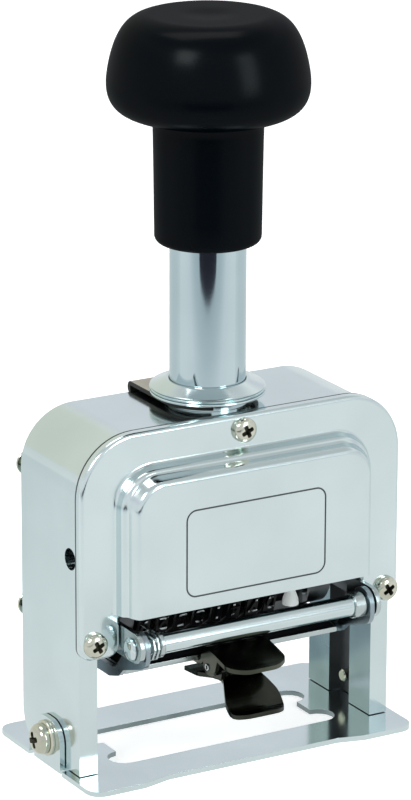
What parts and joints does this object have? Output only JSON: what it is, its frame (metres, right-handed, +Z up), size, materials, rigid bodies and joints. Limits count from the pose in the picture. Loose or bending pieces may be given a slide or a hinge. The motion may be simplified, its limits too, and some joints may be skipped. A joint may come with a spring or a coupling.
{
  "type": "numbering machine",
  "caption": "Hand numbering stamp: arch frame on a foot plate, sprung plunger with knob, row of number wheels, swinging ink arm and slide-out pad tray.",
  "frame": {"origin": "centre of the whole machine's outline, on the plane the foot plate stands on", "axes": "+X to the right seen from the front, +Y to the back, +Z up along the plunger"},
  "size_m": [0.0898, 0.0514, 0.167],
  "materials": {
    "chrome_plate": "bright chrome plate",
    "bright_steel": "plated pressed steel",
    "nickel_screw": "nickel plate with a pale yellow cast",
    "dark_steel": "dark oiled spring steel",
    "lock_steel": "brown tempered steel",
    "black_plastic": "moulded black plastic, soft gloss",
    "wheel_enamel": "black inked steel wheels",
    "white_nylon": "white nylon",
    "ink_felt": "ink-soaked black felt"
  },
  "bodies": {
    "frame": {"base_plate": "chrome_plate", "housing_shell": "chrome_plate", "front_cover": "chrome_plate", "rear_cover": "chrome_plate", "guide_collar": "chrome_plate", "spring_bridge": "bright_steel", "cover_screw_left": "nickel_screw", "cover_screw_right": "nickel_screw", "cover_screw_top": "nickel_screw", "rear_screw_1": "nickel_screw", "rear_screw_2": "nickel_screw", "rear_screw_3": "nickel_screw", "rear_screw_4": "nickel_screw", "foot_washer_left": "nickel_screw", "foot_washer_right": "nickel_screw", "foot_screw_left": "nickel_screw", "foot_screw_right": "nickel_screw", "rod_bracket_left": "bright_steel", "rod_bracket_right": "bright_steel", "rod_ring_left": "bright_steel", "rod_ring_right": "bright_steel", "torsion_spring": "bright_steel", "pivot_rod": "chrome_plate", "selector_screw": "nickel_screw", "return_spring": "bright_steel"},
    "plunger": {"knob": "black_plastic", "plunger_tube": "chrome_plate", "carriage_roof": "bright_steel", "carriage_side_left": "bright_steel", "carriage_side_right": "bright_steel", "guide_shoe_left": "bright_steel", "guide_shoe_right": "bright_steel", "wheel_axle": "bright_steel", "axle_spacer_left": "bright_steel", "axle_spacer_middle": "bright_steel", "axle_spacer_right": "bright_steel", "detent_comb": "dark_steel"},
    "drive_arm": {"drive_arm": "bright_steel", "feed_pawl": "white_nylon"},
    "ink_arm": {"ink_arm": "bright_steel"},
    "pad_holder": {"pad_tray": "bright_steel", "ink_pad": "ink_felt", "upper_blade": "dark_steel", "clip_pin": "bright_steel", "clip_spring": "bright_steel"},
    "clip_lever": {"clip_lever": "dark_steel"},
    "lock_plate": {"lock_plate": "lock_steel"},
    "selector_lever": {"selector_lever": "bright_steel"},
    "wheel_1": {"number_wheel_1": "wheel_enamel"},
    "wheel_2": {"number_wheel_2": "wheel_enamel"},
    "wheel_3": {"number_wheel_3": "wheel_enamel"},
    "wheel_4": {"number_wheel_4": "wheel_enamel"},
    "wheel_5": {"number_wheel_5": "wheel_enamel"},
    "wheel_6": {"number_wheel_6": "wheel_enamel"},
    "wheel_7": {"number_wheel_7": "wheel_enamel"},
    "wheel_8": {"number_wheel_8": "wheel_enamel"}
  },
  "joints": [
    {"name": "plunger_slide", "type": "slide", "parent": "frame", "child": "plunger", "axis": [0, 0, -1], "range_m": [0, 0.0256], "stiffness_N_per_m": 600, "springref_m": -0.02, "deforming": ["return_spring"]},
    {"name": "ink_swing", "type": "hinge", "parent": "frame", "child": "ink_arm", "pos_m": [0, -0.01827, 0.0324], "axis": [1, 0, 0], "range_deg": [-81, 0]},
    {"name": "drive_swing", "type": "hinge", "parent": "plunger", "child": "drive_arm", "pos_m": [0, 0.00187, 0.0351], "axis": [1, 0, 0], "range_deg": [-36.5, 0]},
    {"name": "pad_slide", "type": "slide", "parent": "ink_arm", "child": "pad_holder", "axis": [0, -1, 0], "range_m": [0, 0.03]},
    {"name": "clip_squeeze", "type": "hinge", "parent": "pad_holder", "child": "clip_lever", "pos_m": [0, -0.01337, 0.0224], "axis": [1, 0, 0], "range_deg": [-14, 0], "stiffness_Nm_per_rad": 0.05, "springref_deg": 11.46},
    {"name": "lock_slide", "type": "slide", "parent": "frame", "child": "lock_plate", "axis": [0, 1, 0], "range_m": [0, 0.002]},
    {"name": "selector_turn", "type": "hinge", "parent": "frame", "child": "selector_lever", "pos_m": [0.016, 0.01752, 0.058], "axis": [0, 1, 0], "range_deg": [-40, 40]},
    {"name": "wheel_1_turn", "type": "hinge", "parent": "plunger", "child": "wheel_1", "pos_m": [-0.0209, 0.00187, 0.0351], "axis": [1, 0, 0], "continuous": true},
    {"name": "wheel_2_turn", "type": "hinge", "parent": "plunger", "child": "wheel_2", "pos_m": [-0.01625, 0.00187, 0.0351], "axis": [1, 0, 0], "continuous": true},
    {"name": "wheel_3_turn", "type": "hinge", "parent": "plunger", "child": "wheel_3", "pos_m": [-0.0116, 0.00187, 0.0351], "axis": [1, 0, 0], "continuous": true},
    {"name": "wheel_4_turn", "type": "hinge", "parent": "plunger", "child": "wheel_4", "pos_m": [-0.00695, 0.00187, 0.0351], "axis": [1, 0, 0], "continuous": true},
    {"name": "wheel_5_turn", "type": "hinge", "parent": "plunger", "child": "wheel_5", "pos_m": [-0.0023, 0.00187, 0.0351], "axis": [1, 0, 0], "continuous": true},
    {"name": "wheel_6_turn", "type": "hinge", "parent": "plunger", "child": "wheel_6", "pos_m": [0.00235, 0.00187, 0.0351], "axis": [1, 0, 0], "continuous": true},
    {"name": "wheel_7_turn", "type": "hinge", "parent": "plunger", "child": "wheel_7", "pos_m": [0.007, 0.00187, 0.0351], "axis": [1, 0, 0], "continuous": true},
    {"name": "wheel_8_turn", "type": "hinge", "parent": "plunger", "child": "wheel_8", "pos_m": [0.01165, 0.00187, 0.0351], "axis": [1, 0, 0], "continuous": true}
  ],
  "couplings": [
    {"joint": "ink_swing", "follows": "plunger_slide", "rad_per_m": -55},
    {"joint": "drive_swing", "follows": "plunger_slide", "rad_per_m": -24.5}
  ]
}
